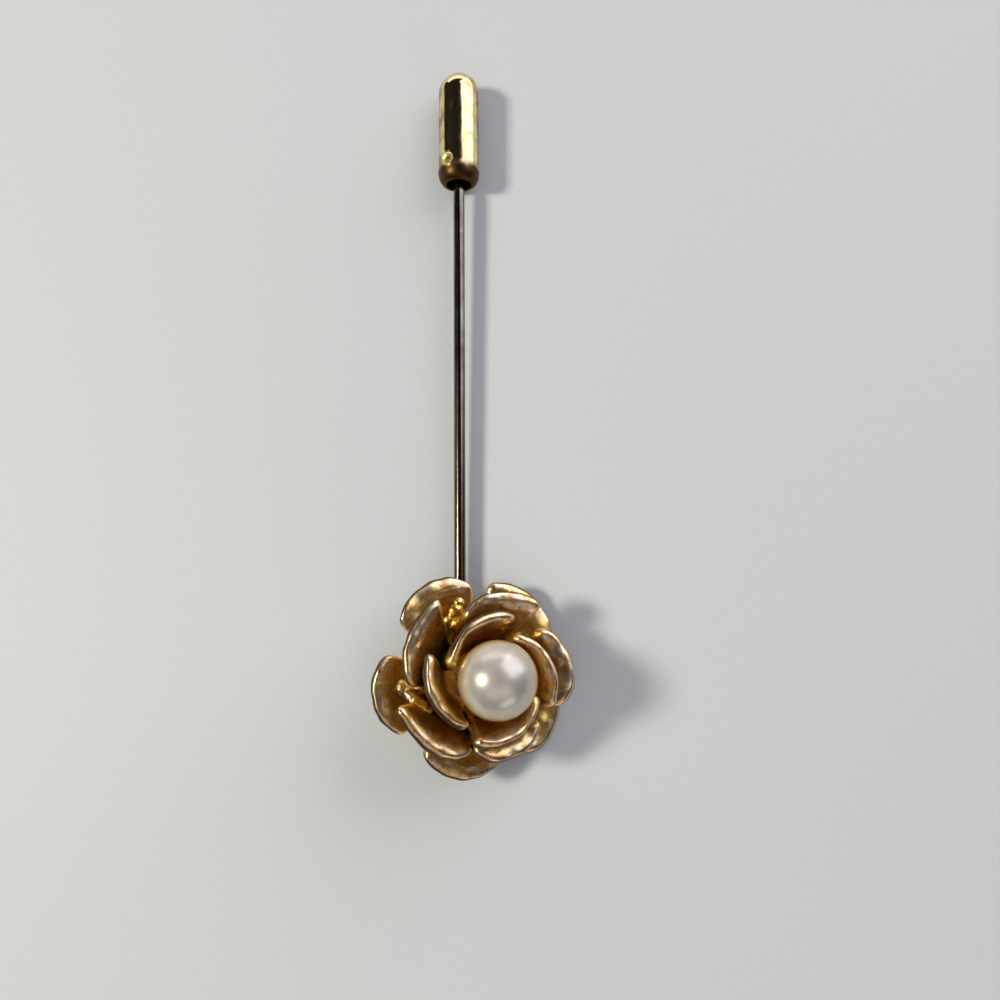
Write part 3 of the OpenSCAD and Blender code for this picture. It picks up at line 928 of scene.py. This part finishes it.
def add_drum(radius, height, middle, rotation=(0, 0, 0)):
    """A closed drum, as a blank for the soldered piece."""
    bpy.ops.object.select_all(action="DESELECT")
    bpy.ops.mesh.primitive_cylinder_add(vertices=64, radius=radius * mm, depth=height * mm, rotation=rotation,
                                        location=[m * mm for m in middle])
    drum = bpy.context.object
    bpy.ops.object.mode_set(mode="EDIT")
    bpy.ops.mesh.select_all(action="SELECT")
    bpy.ops.mesh.bevel(offset=drum_edge * mm, segments=3, affect="EDGES")
    bpy.ops.object.mode_set(mode="OBJECT")
    bpy.ops.object.transform_apply(location=True, rotation=True, scale=True)
    return drum


def lay_in_flower(piece):
    """Turns a piece made about the flower's own axis, at the wire, into its leaning place."""
    only(piece)
    leaned = Matrix((flower_side, wire_axis, flower_up)).transposed().to_4x4()
    piece.matrix_world = Matrix.Translation(flower_centre) @ leaned
    bpy.ops.object.transform_apply(location=True, rotation=True, scale=True)


pad = add_drum(pad_r, pad_t, (0, 0, pad_top - pad_t / 2))
root = add_drum(root_r, root_end * 2, (0, 0, 0), (math.radians(90), 0, 0))
post = add_drum(post_r, post_l, (0, 0, post_middle))
bpy.ops.object.select_all(action="DESELECT")
for drum in (pad, root, post):
    drum.select_set(True)
bpy.context.view_layer.objects.active = pad
bpy.ops.object.join()
solder = bpy.context.object
solder.name = "soldered_root"
print("blank for the soldered root:", len(solder.data.vertices), "points")
lay_in_flower(solder)
apply_modifier(solder, "REMESH", mode="VOXEL", voxel_size=0.08 * mm)
apply_modifier(solder, "SMOOTH", factor=0.5, iterations=4)
only(solder)
bpy.ops.object.shade_smooth()

# %% [markdown]
# Steel wire is pulled through a die, which leaves fine lines along it. It is bare, so it has gone grey with
# age, and the flux of the soldering left it brown near the rose. The lines are noise stretched along the
# wire, drawn 0.08 mm apart, coarser than the die's own scratches, so that they show.

# %% Drawn steel and dull plate
brown_to, grey_from = -14, 4


def drawn_steel(clean, dull, brown):
    """Steel wire with lines along it, in two greys, and brown near the rose."""
    material, tree, shader, place = new_material("drawn_steel")
    tones = add(tree, "ShaderNodeTexNoise", {"Vector": place},
                inputs={"Scale": per_mm(3.0), "Detail": 4.0, "Roughness": 0.6}).outputs["Fac"]
    tones = add(tree, "ShaderNodeMapRange", {"Value": tones},
                inputs={"From Min": 0.35, "From Max": 0.65}).outputs[0]
    body = add(tree, "ShaderNodeMix", {"Factor": tones}, data_type="RGBA",
               inputs={mix_a: colour(clean), mix_b: colour(dull)}).outputs[mixed]
    along = add(tree, "ShaderNodeSeparateXYZ", {"Vector": place}).outputs["Y"]
    near_rose = add(tree, "ShaderNodeMapRange", {"Value": along},
                    inputs={"From Min": grey_from * mm, "From Max": brown_to * mm, "To Max": 0.8}).outputs[0]
    body = add(tree, "ShaderNodeMix", {"Factor": near_rose, mix_a: body}, data_type="RGBA",
               inputs={mix_b: colour(brown)}).outputs[mixed]
    tree.links.new(body, shader.inputs["Base Color"])
    shader.inputs["Metallic"].default_value = 1.0
    stretched = add(tree, "ShaderNodeMapping", {"Vector": place},
                    inputs={"Scale": (1.0, 0.02, 1.0)}).outputs[0]
    lines = add(tree, "ShaderNodeTexNoise", {"Vector": stretched},
                inputs={"Scale": per_mm(0.08)}).outputs["Fac"]
    rough = add(tree, "ShaderNodeMapRange", {"Value": lines},
                inputs={"To Min": 0.1, "To Max": 0.24}).outputs[0]
    tree.links.new(rough, shader.inputs["Roughness"])
    bump = add(tree, "ShaderNodeBump", {"Height": lines}, inputs={"Strength": 0.25, "Distance": 0.01 * mm})
    tree.links.new(bump.outputs[0], shader.inputs["Normal"])
    return material


wear(wire, drawn_steel(clean="#857E76", dull="#5F554B", brown="#66503C"), "pin", "stem_metal", "pin_stem")
dull_gold = polished_plate("dull_gold_plate", plate="#B09258", shade="#7A6238", fresh_and_highlight="#B09258",
                           brown="#5C3E22")
wear(solder, dull_gold, "pin", "stem_metal")

# %% [markdown]
# ## Table and light
# The pin lies on a plain off-white table with a matt laminate top. The table only carries the pin and takes
# its shadows, so a flat disc does, wide enough that every view shows it.

# %% Table
table_r = 700
bpy.ops.object.select_all(action="DESELECT")
bpy.ops.mesh.primitive_circle_add(vertices=128, radius=table_r * mm, fill_type="NGON")
table = bpy.context.object
table.name = "table"
laminate, tree, shader, place = new_material("matt_laminate")
fibre = add(tree, "ShaderNodeTexNoise", {"Vector": place},
            inputs={"Scale": per_mm(0.6), "Detail": 4.0}).outputs["Fac"]
body = add(tree, "ShaderNodeMix", {"Factor": fibre}, data_type="RGBA",
           inputs={mix_a: colour("#CFCFCE"), mix_b: colour("#CACAC9")}).outputs[mixed]
tree.links.new(body, shader.inputs["Base Color"])
shader.inputs["Roughness"].default_value = 0.6
table.data.materials.append(laminate)
print("table", 2 * table_r, "mm across")

# %% [markdown]
# A small lamp high on the left throws the pin's shadows to the right. A tall window on the far right shines
# in the pearl and along the clutch, and a low bright wall behind it in the clutch's round end. A wall and a
# window in front keep the petals' near faces warm. The room's soft light comes from above, a little blue,
# and fills the shadows, but it doesn't show in polished metal. Each is an area lamp that looks at the pearl,
# with its distance and size in metres.

# %% Light


def add_lamp(name, direction, distance, size, energy, tint):
    """A soft lamp of a width and a height that faces the flower from a direction."""
    data = bpy.data.lights.new(name, "AREA")
    data.shape = "RECTANGLE"
    data.size, data.size_y = size
    data.energy = energy
    data.color = colour(tint)[:3]
    lamp = bpy.data.objects.new(name, data)
    bpy.context.scene.collection.objects.link(lamp)
    away = Vector(direction).normalized()
    lamp.location = pearl_centre + away * distance
    lamp.rotation_euler = away.to_track_quat("Z", "Y").to_euler()
    print(name, "of", energy, "W at", distance, "m")
    return lamp


add_lamp("lamp", direction=(-1.0, 0.07, 0.963), distance=0.6, size=(0.1, 0.1), energy=2.65, tint="#FDFFF0")
add_lamp("window", direction=(0.66, 0.62, 0.46), distance=0.75, size=(0.72, 0.8), energy=3.9, tint="#F0F4FF")
add_lamp("far_wall", direction=(-0.1, 1, 0.24), distance=0.8, size=(1.1, 0.32), energy=1.6, tint="#FFFDFA")
add_lamp("front_wall", direction=(0.1, -0.6, 0.8), distance=0.9, size=(1.2, 0.55), energy=0.9, tint="#FFFBF8")
add_lamp("front_window", direction=(0.4, -0.88, 0.3), distance=0.8, size=(0.5, 0.22), energy=0.5,
         tint="#FFF6F2")
ceiling = add_lamp("ceiling", direction=(-0.1, -0.2, 1), distance=1.2, size=(1.6, 1.6), energy=4.1,
                   tint="#EDECFF")
ceiling.visible_glossy = False

# %% [markdown]
# Beyond the table there is nothing to see, so the world is a plain pale backdrop. The camera sees it bright,
# and it lights the pin only faintly, so that the metal keeps its dark reflections.

# %% Backdrop
room_glow, backdrop_glow = 0.015, 0.7
room = bpy.data.worlds.new("room")
bpy.context.scene.world = room
room.use_nodes = True
tree = room.node_tree
seen = add(tree, "ShaderNodeLightPath").outputs["Is Camera Ray"]
strength = add(tree, "ShaderNodeMapRange", {"Value": seen},
               inputs={"To Min": room_glow, "To Max": backdrop_glow}).outputs[0]
background = tree.nodes["Background"]
background.inputs["Color"].default_value = colour("#F6F5F3")
tree.links.new(strength, background.inputs["Strength"])
bpy.context.scene.view_settings.view_transform = "Standard"
